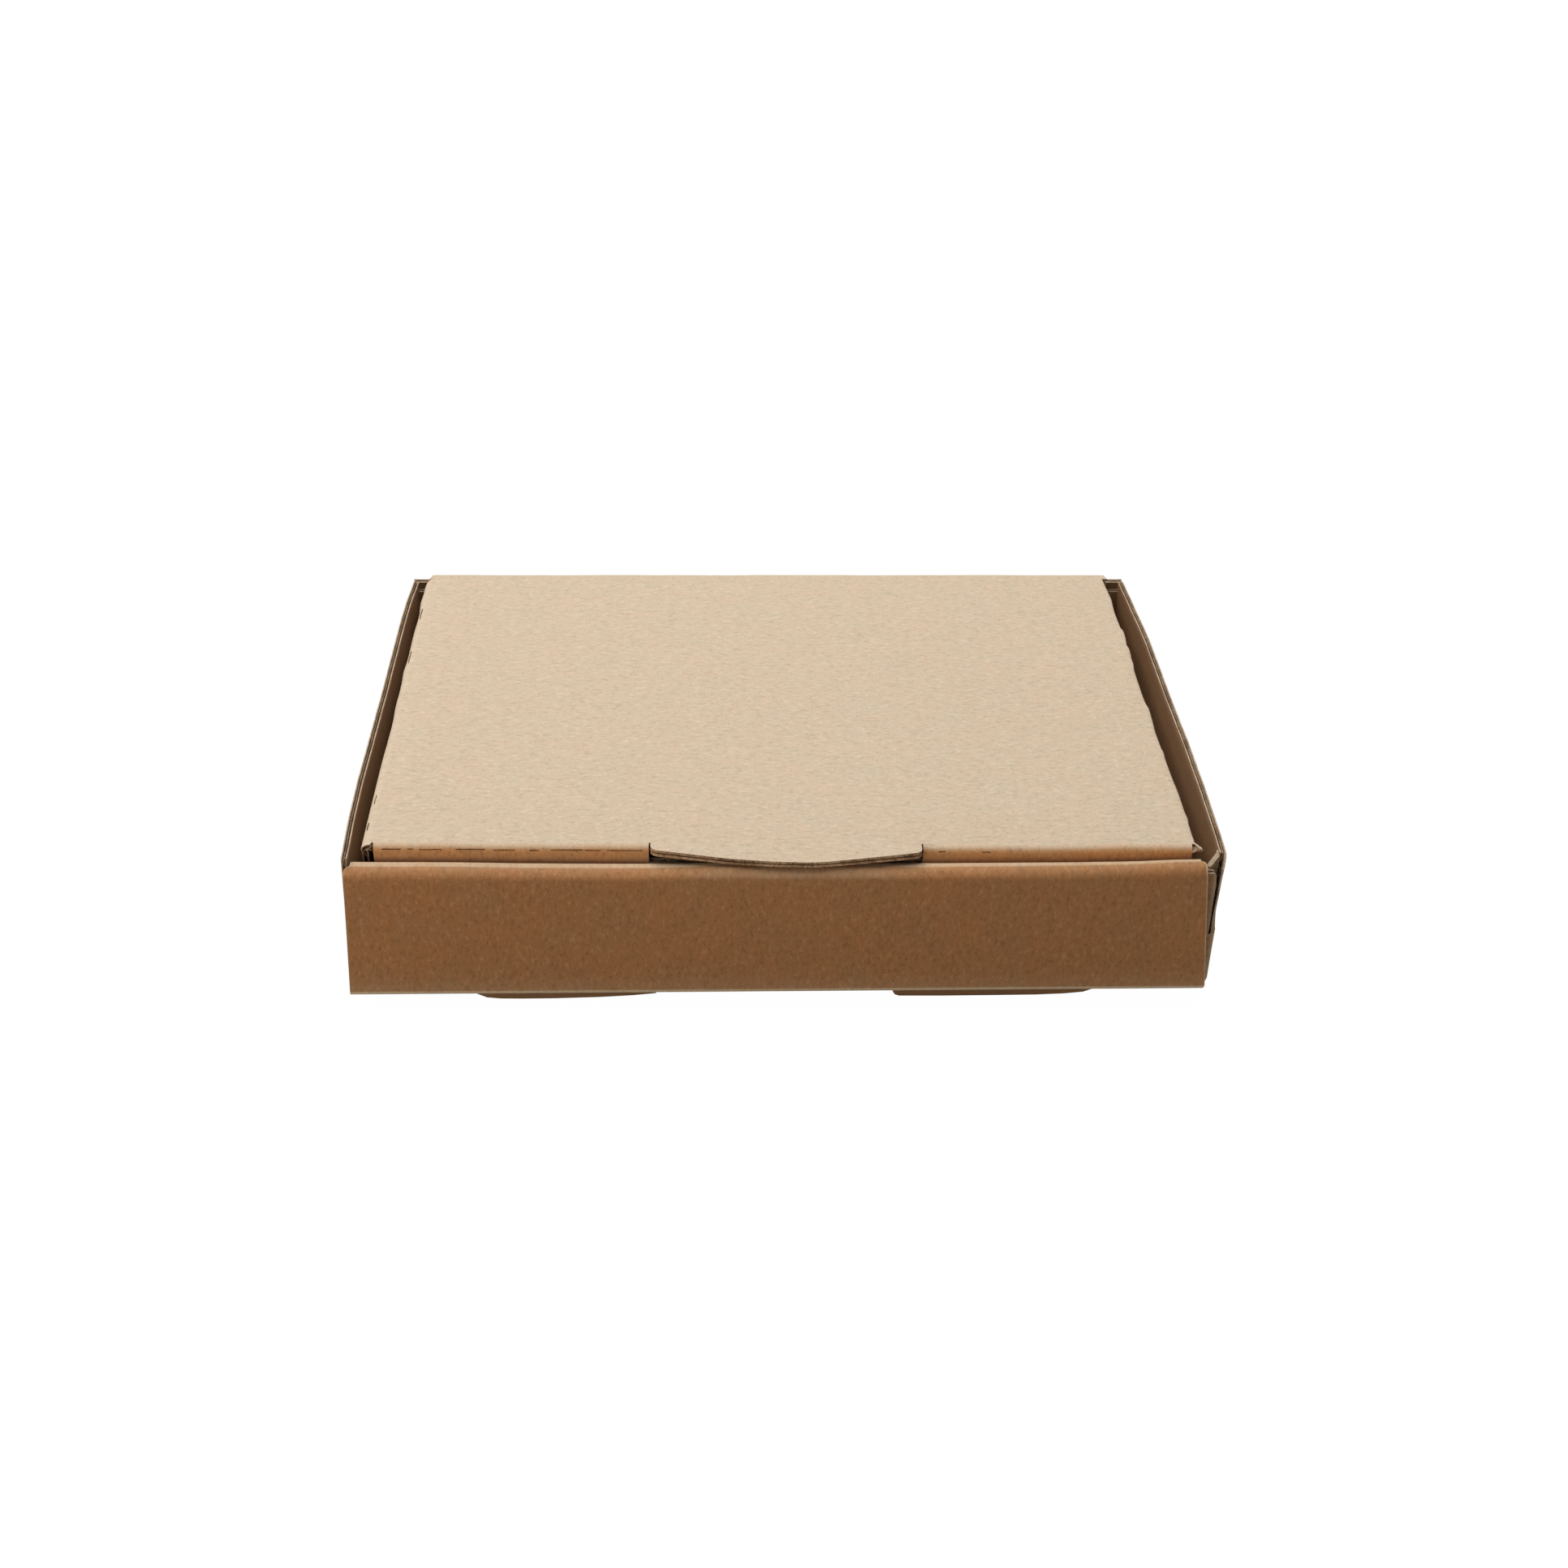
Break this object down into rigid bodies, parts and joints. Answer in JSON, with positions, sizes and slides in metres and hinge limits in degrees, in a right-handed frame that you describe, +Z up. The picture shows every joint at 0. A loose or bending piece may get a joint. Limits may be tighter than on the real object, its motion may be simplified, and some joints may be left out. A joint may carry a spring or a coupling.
{
  "type": "mailer box",
  "caption": "Shallow one-piece corrugated mailer box with a hinged tuck-in lid, a thumb tab and a roll-over locking front wall.",
  "frame": {"origin": "middle of the base's underside, on the plane of the base and not of the lock tabs that stand out below it", "axes": "+X along the front wall to the viewer's right, +Y from the front wall to the back wall and its lid fold, +Z up"},
  "size_m": [0.1549, 0.108, 0.0318],
  "materials": {
    "kraft_board": "matte"
  },
  "bodies": {
    "tray": {"tray": "kraft_board"},
    "lid": {"lid": "kraft_board"}
  },
  "joints": [
    {"name": "lid_hinge", "type": "hinge", "parent": "tray", "child": "lid", "pos_m": [0, 0.05325, 0.02715], "axis": [-1, 0, 0], "range_deg": [0, 180]}
  ]
}
